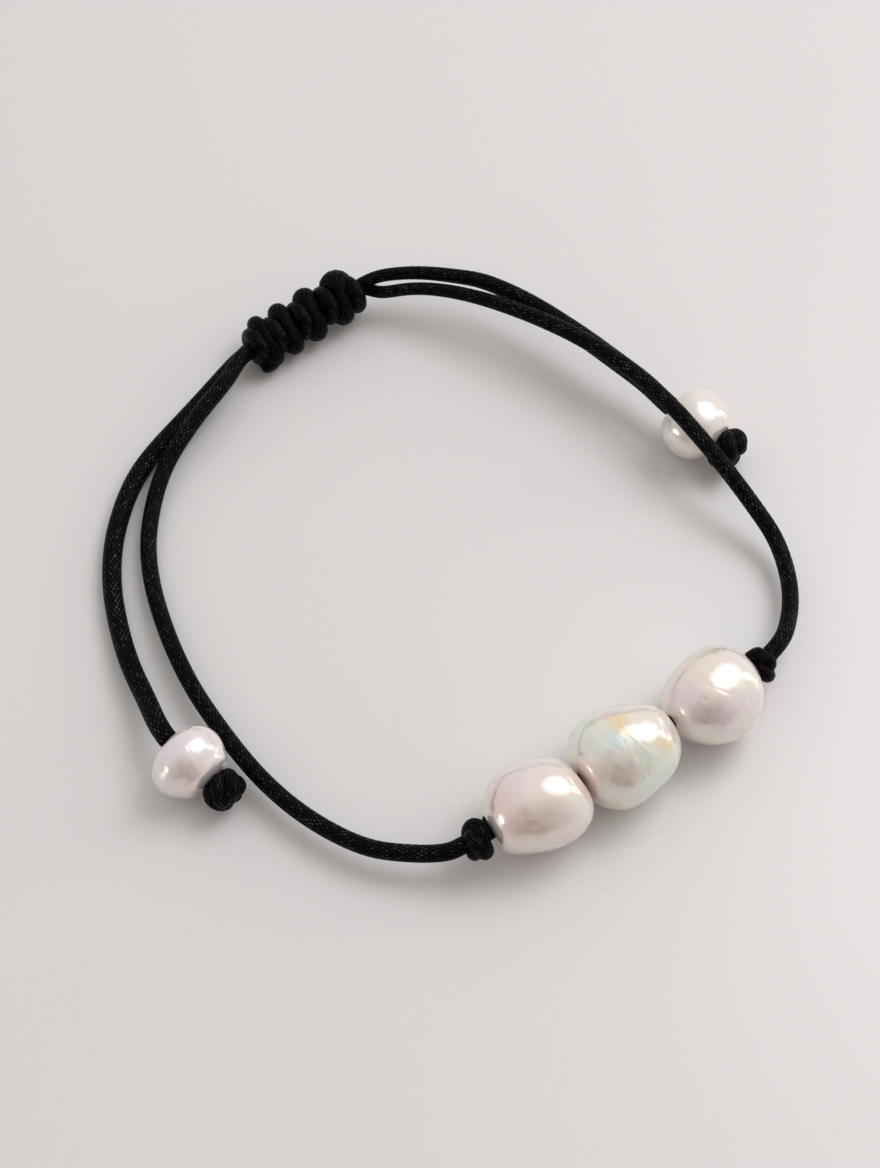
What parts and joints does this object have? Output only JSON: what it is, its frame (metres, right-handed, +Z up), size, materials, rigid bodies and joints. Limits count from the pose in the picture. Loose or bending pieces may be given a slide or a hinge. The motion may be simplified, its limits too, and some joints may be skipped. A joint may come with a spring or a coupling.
{
  "type": "pearl bracelet",
  "caption": "Adjustable pearl bracelet: baroque pearls on a braided black cord, closed by a sliding knot, with a small knotted pearl at the end of each tail.",
  "frame": {"origin": "middle of the wrist hollow, on the surface the bracelet lies on", "axes": "+Y from the row of large pearls towards the sliding knot, +X to the right as the picture shows it, +Z up"},
  "size_m": [0.0672, 0.066, 0.0098],
  "materials": {
    "pearl_pink": "nacre with a pink overtone, glossy",
    "pearl_silver": "nacre, silver green with warm flashes, glossy",
    "pearl_cream": "nacre, cream with a lilac overtone, slightly wrinkled, glossy",
    "pearl_lilac": "nacre with a lilac overtone, glossy",
    "pearl_small_cream": "nacre, cream, glossy",
    "front_cord": "black braided cord, satin",
    "knot_left": "black braided cord, satin",
    "knot_right": "black braided cord, satin",
    "sliding_knot": "black braided cord, satin",
    "left_strand": "black braided cord, satin",
    "right_strand": "black braided cord, satin",
    "end_knot_left": "black braided cord, satin",
    "end_knot_right": "black braided cord, satin"
  },
  "bodies": {
    "root": {"pearl_left": "pearl_pink", "pearl_centre": "pearl_silver", "pearl_right": "pearl_cream", "tail_pearl_left": "pearl_lilac", "tail_pearl_right": "pearl_small_cream", "front_cord": "front_cord", "knot_left": "knot_left", "knot_right": "knot_right", "sliding_knot": "sliding_knot", "left_strand": "left_strand", "right_strand": "right_strand", "end_knot_left": "end_knot_left", "end_knot_right": "end_knot_right"}
  },
  "joints": []
}
